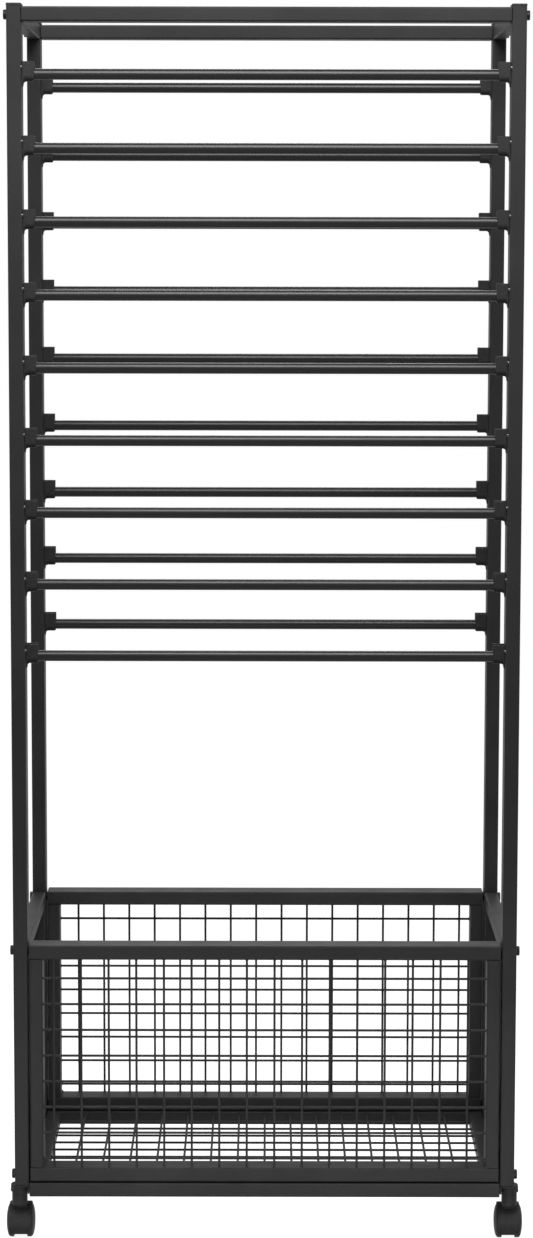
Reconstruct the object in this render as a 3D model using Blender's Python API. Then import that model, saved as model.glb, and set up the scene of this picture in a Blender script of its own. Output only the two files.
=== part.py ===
"""Rolling gift wrap organizer: a tall frame with two rows of lift-out rods, a wire basket and four casters.

Metres, +Z up. X runs across the front, Y from the front to the rear, and the floor is Z = 0 under the
middle of the frame. The rods hang in open cradles on the inner sides of the posts and lift out upwards.
"""

import math

import bmesh
import bpy
from mathutils import Vector

MM = 0.001

# Frame of flat rectangular tube
frame_width = 560 * MM
frame_depth = 326 * MM
post_foot_height = 67.5 * MM
post_length = 1303.5 * MM
tube_face = 16 * MM
tube_depth = 30 * MM
tube_wall = 1.2 * MM
tube_corner = 2.2 * MM
tube_corner_steps = 1
seat_gap = 0.3 * MM
beam_drop = 0.8 * MM

# Post end caps
cap_thickness = 2.5 * MM
cap_lip = 0.25 * MM
cap_plug_length = 10 * MM
cap_edge = 0.9 * MM

# Rods and the cradles that hold them
rod_radius = 6 * MM
rod_count = 9
rod_pitch = 79.2 * MM
top_rod_drop = 72.3 * MM
rod_end_gap = 0.5 * MM
rod_sides = 12
cradle_length = 13.8 * MM
cradle_wall = 2.2 * MM
cradle_above_rod = 12.3 * MM
cradle_below_rod = 8.2 * MM
cradle_floor_steps = 2

# Basket panels of tube and welded wire
basket_bottom_height = 72.3 * MM
basket_height = 269.5 * MM
panel_side_gap = 0.5 * MM
base_gap = 1.7 * MM
panel_edge = 2 * MM
panel_edge_steps = 1
wire_thickness = 2 * MM
wire_inset = 2.3 * MM
first_column_offset = 11.9 * MM
last_column_offset = 21.1 * MM
first_row_offset = 10 * MM
last_row_offset = 21.7 * MM
column_count = 16
row_count = 8
side_column_count = 3
side_row_step = 2
base_column_count = 7
base_row_count = 2

# Casters
caster_outset = 3.6 * MM
socket_plate = 1.5 * MM
socket_plug_length = 20 * MM
collar_height = 8.2 * MM
collar_top_radius = 9.8 * MM
collar_foot_radius = 10.4 * MM
stem_radius = 3.5 * MM
stem_length = 7.5 * MM
boss_radius = 8.7 * MM
boss_foot_height = 37 * MM
round_steps = 12
wheel_radius = 19 * MM
wheel_trail = 16 * MM
wheel_steps = 16
wheel_inner_offset = 7.6 * MM
wheel_tread = 5.8 * MM
wheel_dome = 2.5 * MM
wheel_gap = 0.5 * MM
hood_cover = 1.6 * MM
hood_width = 25 * MM
hood_front_angle_degrees = -34
hood_rear_angle_degrees = 168
hood_arc_steps = 9
axle_radius = 3 * MM
axle_end_gap = 0.4 * MM
axle_sides = 8
hub_bore_depth = 5 * MM
# The dome's shoulder: its share of the dome's height and of the wheel's radius
dome_shares = (0.72, 0.62)

# Points nearer than this are one point
merge_distance = 0.001 * MM
# How far a cutter or a joined piece runs past the faces that it crosses
overrun = 1 * MM
# How deep a welded or moulded piece sinks into what it is joined to
weld_depth = 0.6 * MM

half_width = frame_width / 2
half_depth = frame_depth / 2
inner_half_width = half_width - tube_face
post_top_height = post_foot_height + post_length
top_rod_height = post_top_height - top_rod_drop
post_x = half_width - tube_face / 2
row_y = half_depth - tube_depth / 2
collar_foot_height = post_foot_height - socket_plate - collar_height
SIDES = (("left", -1), ("right", 1))
ROWS = (("front", -1), ("rear", 1))


def clear_scene():
    for thing in list(bpy.data.objects):
        bpy.data.objects.remove(thing)


def make_material(name, colour, roughness, metallic):
    material = bpy.data.materials.new(name)
    material.use_nodes = True
    shader = material.node_tree.nodes["Principled BSDF"]
    shader.inputs["Base Color"].default_value = (*colour, 1)
    shader.inputs["Roughness"].default_value = roughness
    shader.inputs["Metallic"].default_value = metallic
    material.diffuse_color = (*colour, 1)
    return material


def finish_object(name, bm, material, location=(0, 0, 0), turn=0, smooth=False):
    """Turns the bmesh into a named object, and turn is its angle about Z in radians."""
    bmesh.ops.recalc_face_normals(bm, faces=bm.faces)
    mesh = bpy.data.meshes.new(name)
    bm.to_mesh(mesh)
    bm.free()
    mesh.materials.append(material)
    if smooth:
        mesh.shade_smooth()
        mesh.set_sharp_from_angle(angle=math.radians(40))
    part = bpy.data.objects.new(name, mesh)
    part.location = location
    part.rotation_euler = (0, 0, turn)
    bpy.context.scene.collection.objects.link(part)
    return part


def hide_helper(helper):
    helper.hide_render = True
    helper.display_type = "WIRE"
    helper.hide_set(True)
    return helper


def join_shape(part, helper, operation="UNION"):
    """Joins or cuts a helper object with a Boolean that stays on the part."""
    modifier = part.modifiers.new(helper.name, "BOOLEAN")
    modifier.operation = operation
    modifier.solver = "EXACT"
    modifier.object = hide_helper(helper)
    return modifier


def loop_of(bm, points):
    return [bm.verts.new(point) for point in points]


def bridge(bm, first, second):
    count = len(first)
    for index in range(count):
        following = (index + 1) % count
        bm.faces.new((first[index], first[following], second[following], second[index]))


def prism(bm, outline, to_space, start, end):
    """Extrudes a flat outline between two levels, and to_space turns (a, b, level) into a point."""
    lower = loop_of(bm, [to_space(a, b, start) for a, b in outline])
    upper = loop_of(bm, [to_space(a, b, end) for a, b in outline])
    bridge(bm, lower, upper)
    bm.faces.new(reversed(lower))
    bm.faces.new(upper)


def upright(a, b, level):
    return Vector((a, b, level))


def across(a, b, level):
    return Vector((level, a, b))


def on_circle(radius, angle):
    return radius * math.cos(angle), radius * math.sin(angle)


def rounded_rectangle(width, depth, radius, steps):
    """Points of a rectangle about the origin with its corners rounded in the given steps."""
    points = []
    for quarter, (sx, sy) in enumerate(((1, 1), (-1, 1), (-1, -1), (1, -1))):
        centre_x = sx * (width / 2 - radius)
        centre_y = sy * (depth / 2 - radius)
        for step in range(steps + 1):
            x, y = on_circle(radius, math.pi / 2 * (quarter + step / steps))
            points.append((centre_x + x, centre_y + y))
    return points


def rectangle(width, depth):
    x = width / 2
    y = depth / 2
    return [(x, y), (-x, y), (-x, -y), (x, -y)]


def circle(radius, steps):
    return [on_circle(radius, math.tau * step / steps) for step in range(steps)]


def hollow_tube(name, width, depth, length, to_space, material, location):
    """A length of rectangular tube with open ends, centred on its own axis."""
    outer = rounded_rectangle(width, depth, tube_corner, tube_corner_steps)
    inner = rectangle(width - 2 * tube_wall, depth - 2 * tube_wall)
    bm = bmesh.new()
    prism(bm, outer, to_space, 0, length)
    tube = finish_object(name, bm, material, location)
    bore = bmesh.new()
    prism(bore, inner, to_space, -overrun, length + overrun)
    join_shape(tube, finish_object(name + "_bore", bore, material, location), "DIFFERENCE")
    return tube


def cradle_outline():
    """The cradle seen along the rod: a rounded trough whose slot is open at the top."""
    slot_radius = rod_radius + seat_gap
    half_cradle = slot_radius + cradle_wall
    points = [(half_cradle, cradle_above_rod)]
    corner = half_cradle / 2
    for step in range(cradle_floor_steps + 1):
        y, z = on_circle(corner, math.pi / 2 * step / cradle_floor_steps)
        points.append((half_cradle - corner + y, corner - cradle_below_rod - z))
    points += [(-y, z) for y, z in reversed(points)]
    half_turn_sides = rod_sides // 2
    for step in range(half_turn_sides + 1):
        points.append(on_circle(slot_radius, math.pi * (1 + step / half_turn_sides)))
    points.insert(-half_turn_sides - 1, (-slot_radius, cradle_above_rod))
    points.append((slot_radius, cradle_above_rod))
    return points


def make_post(row, row_sign, side, side_sign, material):
    """A corner post with its nine rod cradles moulded onto the inner face."""
    location = (side_sign * post_x, row_sign * row_y, post_foot_height)
    name = f"post_{row}_{side}"
    post = hollow_tube(name, tube_face, tube_depth, post_length, upright, material, location)
    face = -side_sign * tube_face / 2
    cradles = bmesh.new()
    for index in range(rod_count):
        level = top_rod_height - index * rod_pitch - post_foot_height
        outline = [(y, level + z) for y, z in cradle_outline()]
        prism(cradles, outline, across, face + side_sign * weld_depth, face - side_sign * cradle_length)
    join_shape(post, finish_object(name + "_cradles", cradles, material, location))
    return post


def make_post_cap(row, row_sign, side, side_sign, material):
    location = (side_sign * post_x, row_sign * row_y, post_top_height + seat_gap)
    bm = bmesh.new()
    cover = rounded_rectangle(
        tube_face + 2 * cap_lip, tube_depth + 2 * cap_lip, tube_corner + cap_lip, tube_corner_steps
    )
    crown_lip = cap_lip - cap_edge
    crown = rounded_rectangle(
        tube_face + 2 * crown_lip, tube_depth + 2 * crown_lip, tube_corner, tube_corner_steps
    )
    low = loop_of(bm, [upright(a, b, 0) for a, b in cover])
    shoulder = loop_of(bm, [upright(a, b, cap_thickness - cap_edge) for a, b in cover])
    top = loop_of(bm, [upright(a, b, cap_thickness) for a, b in crown])
    bridge(bm, low, shoulder)
    bridge(bm, shoulder, top)
    bm.faces.new(top)
    bm.faces.new(reversed(low))
    cap = finish_object(f"cap_{row}_{side}", bm, material, location)
    plug_gap = 2 * (tube_wall + seat_gap)
    plug = bmesh.new()
    outline = rectangle(tube_face - plug_gap, tube_depth - plug_gap)
    prism(plug, outline, upright, -cap_plug_length, weld_depth)
    join_shape(cap, finish_object(f"cap_{row}_{side}_plug", plug, material, location))
    return cap


def make_top_beams(material):
    """Four beams that close the top of the frame, each one between two posts."""
    level = post_top_height - beam_drop - tube_face / 2
    long_length = 2 * (inner_half_width - seat_gap)
    for row, row_sign in ROWS:
        start = (-long_length / 2, row_sign * row_y, level)
        hollow_tube(f"top_beam_{row}", tube_depth, tube_face, long_length, across, material, start)
    short_length = 2 * (half_depth - tube_depth - seat_gap)

    def along(a, b, height):
        return Vector((a, height, b))

    for side, side_sign in SIDES:
        start = (side_sign * post_x, -short_length / 2, level)
        hollow_tube(f"top_beam_{side}", tube_face, tube_face, short_length, along, material, start)


def make_rod(row, row_sign, index, material):
    """A rod, lying along X with its origin at its middle."""
    length = 2 * (inner_half_width - rod_end_gap)
    bm = bmesh.new()
    prism(bm, circle(rod_radius, rod_sides), across, -length / 2, length / 2)
    location = (0, row_sign * row_y, top_rod_height - index * rod_pitch)
    return finish_object(f"rod_{row}_{index + 1}", bm, material, location, smooth=True)


def frame_ring(width, height, depth, stile, rail):
    """The tube border of a panel: outer face at y = 0, inner face at y = depth, corner at the origin."""
    bm = bmesh.new()
    rings = []
    for y in (0, depth):
        outer = loop_of(bm, [(0, y, 0), (width, y, 0), (width, y, height), (0, y, height)])
        right, top = width - stile, height - rail
        inner = loop_of(bm, [(stile, y, rail), (right, y, rail), (right, y, top), (stile, y, top)])
        rings.append((outer, inner))
    (outer_front, inner_front), (outer_back, inner_back) = rings
    bridge(bm, outer_front, outer_back)
    bridge(bm, inner_back, inner_front)
    bridge(bm, inner_front, outer_front)
    bridge(bm, outer_back, inner_back)
    long_edges = [edge for edge in bm.edges if not crosses_wall(edge) and not lies_on_mitre(edge)]
    bmesh.ops.bevel(
        bm, geom=long_edges, offset=panel_edge, segments=panel_edge_steps, profile=0.5, affect="EDGES"
    )
    return bm


def crosses_wall(edge):
    return edge.verts[0].co.y != edge.verts[1].co.y


def lies_on_mitre(edge):
    span = edge.verts[0].co - edge.verts[1].co
    return min(abs(span.x), abs(span.z)) > 0


def wire_grid(width, height, stile, rail, columns, rows):
    """A flat grid of square wires whose outer border lies inside the tubes."""
    half_wire = wire_thickness / 2
    x_cuts = [stile - weld_depth]
    for place in columns:
        x_cuts += [place - half_wire, place + half_wire]
    x_cuts.append(width - stile + weld_depth)
    z_cuts = [rail - weld_depth]
    for place in rows:
        z_cuts += [place - half_wire, place + half_wire]
    z_cuts.append(height - rail + weld_depth)
    x_cuts = [x_cuts[0] - wire_thickness] + x_cuts + [x_cuts[-1] + wire_thickness]
    z_cuts = [z_cuts[0] - wire_thickness] + z_cuts + [z_cuts[-1] + wire_thickness]
    bm = bmesh.new()
    levels = (wire_inset, wire_inset + wire_thickness)
    grids = [[[bm.verts.new((x, y, z)) for z in z_cuts] for x in x_cuts] for y in levels]

    def is_hole(i, j):
        return i % 2 == 1 and j % 2 == 1

    last_i = len(x_cuts) - 1
    last_j = len(z_cuts) - 1
    for i in range(last_i):
        for j in range(last_j):
            corners = ((i, j), (i + 1, j), (i + 1, j + 1), (i, j + 1))
            if is_hole(i, j):
                walls = list(zip(corners, corners[1:] + corners[:1]))
            else:
                for grid in grids:
                    bm.faces.new([grid[a][b] for a, b in corners])
                outside = (j == 0, i == last_i - 1, j == last_j - 1, i == 0)
                walls = [(corners[k], corners[(k + 1) % 4]) for k in range(4) if outside[k]]
            for (a, b), (c, d) in walls:
                bm.faces.new((grids[0][a][b], grids[0][c][d], grids[1][c][d], grids[1][a][b]))
    return bm


def make_panel(name, size, tube, columns, rows, material, location, turn):
    """A welded panel: a border of tube round a wire grid that lies close behind the outer face."""
    width, height = size
    stile, rail, depth = tube
    border = frame_ring(width, height, depth, stile, rail)
    panel = finish_object(name, border, material, location)
    wires = wire_grid(width, height, stile, rail, columns, rows)
    grid = finish_object(name + "_grid", wires, material, location)
    for thing in (panel, grid):
        thing.rotation_euler = turn
    join_shape(panel, grid)
    return panel


def places_between(first, last, count):
    return [first + (last - first) * i / (count - 1) for i in range(count)]


def even_places(start, end, count):
    """Places that divide the opening between two tubes into equal parts."""
    pitch = (end - start) / (count + 1)
    return places_between(start + pitch, end - pitch, count)


def make_basket(material):
    """Front, rear and side panels with the base panel under them."""
    size = (2 * (inner_half_width - panel_side_gap), basket_height)
    tube = (tube_face, tube_face, tube_depth)
    far_column = size[0] - tube_face - last_column_offset
    columns = places_between(tube_face + first_column_offset, far_column, column_count)
    top_row = basket_height - tube_face - last_row_offset
    rows = places_between(tube_face + first_row_offset, top_row, row_count)
    for row, row_sign in ROWS:
        location = (row_sign * size[0] / 2, row_sign * half_depth, basket_bottom_height)
        turn = (0, 0, 0 if row_sign < 0 else math.pi)
        make_panel(f"basket_{row}", size, tube, columns, rows, material, location, turn)

    size = (2 * (half_depth - tube_depth - panel_side_gap), basket_height)
    tube = (tube_face, tube_face, tube_face)
    columns = even_places(tube_face, size[0] - tube_face, side_column_count)
    rows = rows[::side_row_step]
    for side, side_sign in SIDES:
        location = (side_sign * half_width, side_sign * -size[0] / 2, basket_bottom_height)
        turn = (0, 0, side_sign * math.pi / 2)
        make_panel(f"basket_{side}", size, tube, columns, rows, material, location, turn)

    size = (2 * (inner_half_width - seat_gap), frame_depth)
    tube = (tube_face, tube_depth, tube_face)
    columns = even_places(tube_face, size[0] - tube_face, base_column_count)
    rows = even_places(tube_depth, size[1] - tube_depth, base_row_count)
    location = (-size[0] / 2, -half_depth, basket_bottom_height - base_gap)
    turn = (-math.pi / 2, 0, 0)
    make_panel("basket_base", size, tube, columns, rows, material, location, turn)


def caster_place(row_sign, side_sign):
    return side_sign * (post_x + caster_outset), row_sign * row_y


def make_caster_socket(row, row_sign, side, side_sign, material):
    """The plug that closes the foot of a post and its collar, which holds the caster's stem."""
    name = f"caster_socket_{row}_{side}"
    x, y = caster_place(row_sign, side_sign)
    location = (x, y, collar_foot_height)
    bm = bmesh.new()
    foot = loop_of(bm, [upright(a, b, 0) for a, b in circle(collar_foot_radius, round_steps)])
    top_level = collar_height + weld_depth
    top = loop_of(bm, [upright(a, b, top_level) for a, b in circle(collar_top_radius, round_steps)])
    bridge(bm, foot, top)
    bm.faces.new(reversed(foot))
    bm.faces.new(top)
    socket = finish_object(name, bm, material, location)
    post_shift = -side_sign * caster_outset
    plate_top = collar_height + socket_plate - seat_gap
    plate = bmesh.new()
    outline = rounded_rectangle(tube_face, tube_depth, tube_corner, tube_corner_steps)
    prism(plate, [(a + post_shift, b) for a, b in outline], upright, collar_height, plate_top)
    join_shape(socket, finish_object(name + "_plate", plate, material, location))
    plug_gap = 2 * (tube_wall + seat_gap)
    plug = bmesh.new()
    outline = rectangle(tube_face - plug_gap, tube_depth - plug_gap)
    plug_start = plate_top - weld_depth
    plug_end = plate_top + socket_plug_length
    prism(plug, [(a + post_shift, b) for a, b in outline], upright, plug_start, plug_end)
    join_shape(socket, finish_object(name + "_plug", plug, material, location))
    bore = bmesh.new()
    prism(bore, circle(stem_radius + seat_gap, round_steps), upright, -overrun, stem_length + seat_gap)
    join_shape(socket, finish_object(name + "_bore", bore, material, location), "DIFFERENCE")
    return socket


def hood_outline(radius, inner_radius=None):
    """The fender's curve round the wheel axis, closed by its inner curve or by a straight foot."""
    start = math.radians(hood_front_angle_degrees)
    sweep = math.radians(hood_rear_angle_degrees - hood_front_angle_degrees)
    angles = [start + sweep * i / hood_arc_steps for i in range(hood_arc_steps + 1)]
    points = [on_circle(radius, angle) for angle in angles]
    if inner_radius:
        points += [on_circle(inner_radius, angle) for angle in reversed(angles)]
    return [(-y, z) for y, z in points]


def make_caster_hood(row, row_sign, side, side_sign, material):
    """The swivelling part of a caster, with its origin on the stem's axis at wheel centre height."""
    name = f"caster_hood_{row}_{side}"
    x, y = caster_place(row_sign, side_sign)
    location = (x, y, wheel_radius)
    turn = 0 if row_sign < 0 else math.pi
    outer_radius = wheel_radius + wheel_gap + hood_cover
    web_half = wheel_inner_offset - wheel_gap
    bm = bmesh.new()
    outline = [(a + wheel_trail, b) for a, b in hood_outline(outer_radius)]
    prism(bm, outline, across, -web_half, web_half)
    hood = finish_object(name, bm, material, location, turn)
    fender = bmesh.new()
    inner_radius = wheel_radius + wheel_gap
    outline = [(a + wheel_trail, b) for a, b in hood_outline(outer_radius, inner_radius)]
    prism(fender, outline, across, -hood_width / 2, hood_width / 2)
    join_shape(hood, finish_object(name + "_fender", fender, material, location, turn))
    boss_top = collar_foot_height - seat_gap - wheel_radius
    boss = bmesh.new()
    prism(boss, circle(boss_radius, round_steps), upright, boss_foot_height - wheel_radius, boss_top)
    join_shape(hood, finish_object(name + "_boss", boss, material, location, turn))
    stem = bmesh.new()
    prism(stem, circle(stem_radius, round_steps), upright, boss_top - weld_depth, boss_top + stem_length)
    join_shape(hood, finish_object(name + "_stem", stem, material, location, turn))
    bore = bmesh.new()
    outline = [(a + wheel_trail, b) for a, b in circle(axle_radius + seat_gap, round_steps)]
    prism(bore, outline, across, -web_half - overrun, web_half + overrun)
    join_shape(hood, finish_object(name + "_bore", bore, material, location, turn), "DIFFERENCE")
    return hood


def make_wheel(name, location, outward, material):
    """A wheel with a blind hub bore on its inner face and a domed outer face, turned about X."""
    bore_radius = axle_radius + seat_gap
    profile = (
        (hub_bore_depth, 0),
        (hub_bore_depth, bore_radius),
        (0, bore_radius),
        (0, wheel_radius),
        (wheel_tread, wheel_radius),
        (wheel_tread + wheel_dome * dome_shares[0], wheel_radius * dome_shares[1]),
        (wheel_tread + wheel_dome, 0),
    )
    bm = bmesh.new()
    verts = [bm.verts.new((outward * x, 0, r)) for x, r in profile]
    edges = [bm.edges.new(pair) for pair in zip(verts, verts[1:])]
    bmesh.ops.spin(
        bm,
        geom=verts + edges,
        cent=(0, 0, 0),
        axis=(1, 0, 0),
        angle=math.tau,
        steps=wheel_steps,
        use_merge=True,
    )
    bmesh.ops.remove_doubles(bm, verts=bm.verts, dist=merge_distance)
    return finish_object(name, bm, material, location, smooth=True)


def make_wheel_set(row, row_sign, side, side_sign, tyre, steel):
    """Two wheels on one axle, all with their origins on the axle's line."""
    x, y = caster_place(row_sign, side_sign)
    axis_y = y - row_sign * wheel_trail
    for place, outward in (("outer", side_sign), ("inner", -side_sign)):
        location = (x + outward * wheel_inner_offset, axis_y, wheel_radius)
        make_wheel(f"wheel_{row}_{side}_{place}", location, outward, tyre)
    half_axle = wheel_inner_offset + hub_bore_depth - axle_end_gap
    bm = bmesh.new()
    prism(bm, circle(axle_radius, axle_sides), across, -half_axle, half_axle)
    finish_object(f"axle_{row}_{side}", bm, steel, (x, axis_y, wheel_radius), smooth=True)


def main():
    clear_scene()
    powder_coat = make_material("black_powder_coat", (0.028, 0.028, 0.03), 0.45, 0)
    rod_enamel = make_material("rod_enamel", (0.022, 0.022, 0.024), 0.28, 0)
    plastic = make_material("black_plastic", (0.018, 0.018, 0.019), 0.6, 0)
    tyre = make_material("wheel_nylon", (0.015, 0.015, 0.016), 0.55, 0)
    steel = make_material("axle_steel", (0.55, 0.55, 0.56), 0.3, 1)
    for row, row_sign in ROWS:
        for side, side_sign in SIDES:
            corner = (row, row_sign, side, side_sign)
            make_post(*corner, powder_coat)
            make_post_cap(*corner, plastic)
            make_caster_socket(*corner, plastic)
            make_caster_hood(*corner, plastic)
            make_wheel_set(*corner, tyre, steel)
        for index in range(rod_count):
            make_rod(row, row_sign, index, rod_enamel)
    make_top_beams(powder_coat)
    make_basket(powder_coat)


main()
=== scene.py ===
"""Gift wrap organizer: the looks of a tall rolling rack, modelled over its fixed CAD frame.

The rack has two rows of lift-out rods in open cradles, a basket of framed wire panels and four twin-wheel
casters. The file is laid out as a Blender add-on and is run as a script. Lengths are in metres, X runs
across the front, Y from the front to the rear, and the floor is Z = 0.
"""

import math

import bmesh
import bpy
from mathutils import Matrix, Vector


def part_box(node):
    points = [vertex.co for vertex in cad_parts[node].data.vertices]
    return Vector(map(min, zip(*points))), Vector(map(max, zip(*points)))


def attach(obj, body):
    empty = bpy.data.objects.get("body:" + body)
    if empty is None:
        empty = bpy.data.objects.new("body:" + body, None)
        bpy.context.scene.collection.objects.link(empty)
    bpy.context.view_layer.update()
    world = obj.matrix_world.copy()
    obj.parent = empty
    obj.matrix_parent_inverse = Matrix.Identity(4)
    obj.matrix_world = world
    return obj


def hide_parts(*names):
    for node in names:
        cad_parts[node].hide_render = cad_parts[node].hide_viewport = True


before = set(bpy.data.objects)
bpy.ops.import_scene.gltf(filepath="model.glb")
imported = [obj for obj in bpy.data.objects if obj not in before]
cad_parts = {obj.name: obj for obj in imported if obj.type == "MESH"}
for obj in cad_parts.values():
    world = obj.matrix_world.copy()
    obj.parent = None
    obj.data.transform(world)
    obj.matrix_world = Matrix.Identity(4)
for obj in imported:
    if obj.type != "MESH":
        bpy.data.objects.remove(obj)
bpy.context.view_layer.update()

bl_info = {
    "name": "Gift Wrap Organizer",
    "version": (1, 0, 0),
    "blender": (4, 5, 0),
    "location": "View3D > Sidebar > Organizer",
    "description": "Models the posts, rods, cradles, wire basket and casters of a rolling gift wrap rack",
    "category": "Add Mesh",
}

MM = 0.001
X, Y, Z = range(3)
ROWS = ("front", "rear")
SIDES = ("left", "right")
OUTWARD = {"front": -1, "rear": 1, "left": -1, "right": 1}
CORNERS = [(row, side) for row in ROWS for side in SIDES]
ROD_NUMBERS = range(1, 10)
# Corners nearer than this to a plane lie on it
TOUCH = 0.01 * MM
# How far a cutter runs past the faces that it crosses
OVERRUN = 2 * MM
# Least share of a direction along an axis: for edges and sawn ends, and for faces that are nearly square
SQUARE = 0.999
NEARLY_SQUARE = 0.9
# Softened edges: their strips, and the least angle in degrees of an edge that is softened
SOFT_STEPS = 2
SOFT_ANGLE = 40
# Edges under this angle in degrees are shaded smooth: on most pieces, on round wires and on bolt heads
SMOOTH_ANGLE = 38
WIRE_SMOOTH_ANGLE = 50
BOLT_SMOOTH_ANGLE = 32
NORMAL_WEIGHT = 60
# Flat strips round the round pieces
ROD_SIDES = 48
WIRE_SIDES = 10
SCREW_SIDES = 20
BOLT_SIDES = 32
SOCKET_SIDES = 6
COLLAR_SIDES = 48
HUB_SIDES = 32
PIN_SIDES = 24
WHEEL_SIDES = 64
FLOOR_SIDES = 96
# Radii of the softened edges of small pieces
SCREW_EDGE = 0.25 * MM
FLANGE_EDGE = 0.2 * MM
COLLAR_EDGE = 0.5 * MM
PLATE_EDGE = 0.3 * MM
BOSS_EDGE = 0.4 * MM
WEB_EDGE = 0.4 * MM
PIN_EDGE = 0.5 * MM
WHEEL_EDGE = 0.3 * MM

beam_low, beam_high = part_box("top_beam_front")
side_beam_low, side_beam_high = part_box("top_beam_left")
rod_low, rod_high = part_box("rod_front_1")
wheel_low, wheel_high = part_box("wheel_front_left_outer")
axle_low, axle_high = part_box("axle_front_left")


# Properties


def length(name, description, default):
    return bpy.props.FloatProperty(
        name=name, description=description, default=default, min=0, precision=5, unit="LENGTH"
    )


def angle(name, description, degrees):
    return bpy.props.FloatProperty(
        name=name, description=description, default=math.radians(degrees), subtype="ANGLE"
    )


def share(name, description, default):
    return bpy.props.FloatProperty(
        name=name, description=description, default=default, min=0, max=1, subtype="FACTOR"
    )


def count(name, description, default):
    return bpy.props.IntProperty(name=name, description=description, default=default, min=1)


def colour(name, description, default):
    return bpy.props.FloatVectorProperty(
        name=name, description=description, default=default, min=0, max=1, size=3, subtype="COLOR"
    )


def power(name, description, default):
    return bpy.props.FloatProperty(name=name, description=description, default=default, min=0, unit="POWER")


class TubeSizes(bpy.types.PropertyGroup):
    face: length("Face width", "Width of a tube from the front", side_beam_high.x - side_beam_low.x)
    depth: length("Depth", "Depth of the flat tube from front to rear", beam_high.y - beam_low.y)
    wall: length("Wall", "Wall thickness of every tube", 1.2 * MM)
    corner: length("Corner radius", "Radius of the frame tubes' long edges", 2.2 * MM)
    cap_height: length("Cap height", "Height of a post cap above the tube", 2.5 * MM)


class RodSizes(bpy.types.PropertyGroup):
    radius: length("Radius", "Outside radius of a rod", (rod_high.z - rod_low.z) / 2)
    wall: length("Wall", "Wall thickness seen at the open ends", 1 * MM)


class CradleSizes(bpy.types.PropertyGroup):
    reach: length("Reach", "How far a cradle stands out from its post", 13.2 * MM)
    slot_radius: length("Slot radius", "Inside radius of the trough for the rod", 6.2 * MM)
    wall: length("Wall", "Thickness of the walls beside the rod", 2.2 * MM)
    above: length("Above the rod", "Height of the cradle over the rod's centre", 13.5 * MM)
    below: length("Below the rod", "Depth of the cradle under the rod's centre", 7.9 * MM)
    round: length("Underside radius", "Radius of the rounded underside", 6.4 * MM)


class BasketSizes(bpy.types.PropertyGroup):
    corner: length("Corner radius", "Radius of the panel tubes' long edges", 2 * MM)
    side_gap: length("Side gap", "Width taken off a front or rear stile beside its post", 1.1 * MM)
    wire_radius: length("Wire radius", "Radius of the welded wire", 1.35 * MM)
    first_column: length("First column", "From the stile to the first upright wire", 11.9 * MM)
    column_pitch: length("Column pitch", "Spacing of the upright wires", 30.8 * MM)
    columns: count("Columns", "Upright wires in the front and rear panels", 16)
    first_row: length("First row", "From the bottom rail to the first level wire", 10 * MM)
    row_pitch: length("Row pitch", "Spacing of the level wires", 29.4 * MM)
    rows: count("Rows", "Level wires in each upright panel", 8)
    side_columns: count("Side columns", "Upright wires in each side panel", 7)
    base_columns: count("Base columns", "Wires from front to rear in the base", 15)
    base_rows: count("Base rows", "Wires across the base panel", 8)


class FastenerSizes(bpy.types.PropertyGroup):
    bolt_radius: length("Bolt head radius", "Radius of a frame bolt's button head", 5.4 * MM)
    bolt_height: length("Bolt head height", "How far a bolt head stands out", 4.1 * MM)
    screw_radius: length("Screw head radius", "Radius of a cradle screw's head", 2 * MM)
    screw_height: length("Screw head height", "How far a screw's head stands out", 1 * MM)


class CasterSizes(bpy.types.PropertyGroup):
    trail: length("Trail", "Distance of the wheel axis behind the stem", 16 * MM)
    collar_radius: length("Collar radius", "Radius of the socket's collar at its top", 9.8 * MM)
    collar_foot_radius: length("Collar foot radius", "Radius of the collar at its foot", 10.4 * MM)
    collar_height: length("Collar height", "Height of the collar", 8.2 * MM)
    boss_radius: length("Boss radius", "Radius of the hood's upright boss", 8.7 * MM)
    boss_foot: length("Boss foot height", "Height of the boss's lower rim over the floor", 43 * MM)
    hood_radius: length("Hood radius", "Radius of the hood round the wheel axis", 21.1 * MM)
    hood_wall: length("Hood wall", "Thickness of the hood over the wheels", 1.6 * MM)
    hood_width: length("Hood width", "Width of the hood across both wheels", 25 * MM)
    web_half: length("Half web", "Half the thickness of the web between the wheels", 7.1 * MM)
    hood_start: angle("Hood start", "Where the hood's cover starts, from the front upwards", -34)
    hood_end: angle("Hood end", "Where the hood's cover ends, past the top", 168)
    stem_radius: length("Stem radius", "Radius of the steel stem", 3.5 * MM)
    wheel_radius: length("Wheel radius", "Radius of a wheel", (wheel_high.z - wheel_low.z) / 2)
    tread: length("Tread width", "Width of a wheel's running surface", 3.9 * MM)
    axle_radius: length("Axle radius", "Radius of the axle pin", (axle_high.z - axle_low.z) / 2)


class FinishColours(bpy.types.PropertyGroup):
    coat: colour("Powder coat", "Satin black of the posts, beams and basket", (0.02, 0.02, 0.0205))
    enamel: colour("Rod enamel", "Smooth black of the rods", (0.006, 0.006, 0.0063))
    plastic: colour("Plastic", "Matte black of the cradles, caps and casters", (0.018, 0.018, 0.0184))
    nylon: colour("Wheel nylon", "Black of the wheels", (0.013, 0.013, 0.0135))
    oxide: colour("Bolt oxide", "Blackened steel of the frame bolts", (0.016, 0.016, 0.0165))
    zinc: colour("Zinc", "Plating of the cradle screws", (0.06, 0.06, 0.063))
    steel: colour("Axle steel", "Bare steel of the axles", (0.55, 0.55, 0.56))
    floor: colour("Floor", "Pale floor of the stage", (0.3, 0.3, 0.3))


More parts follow.
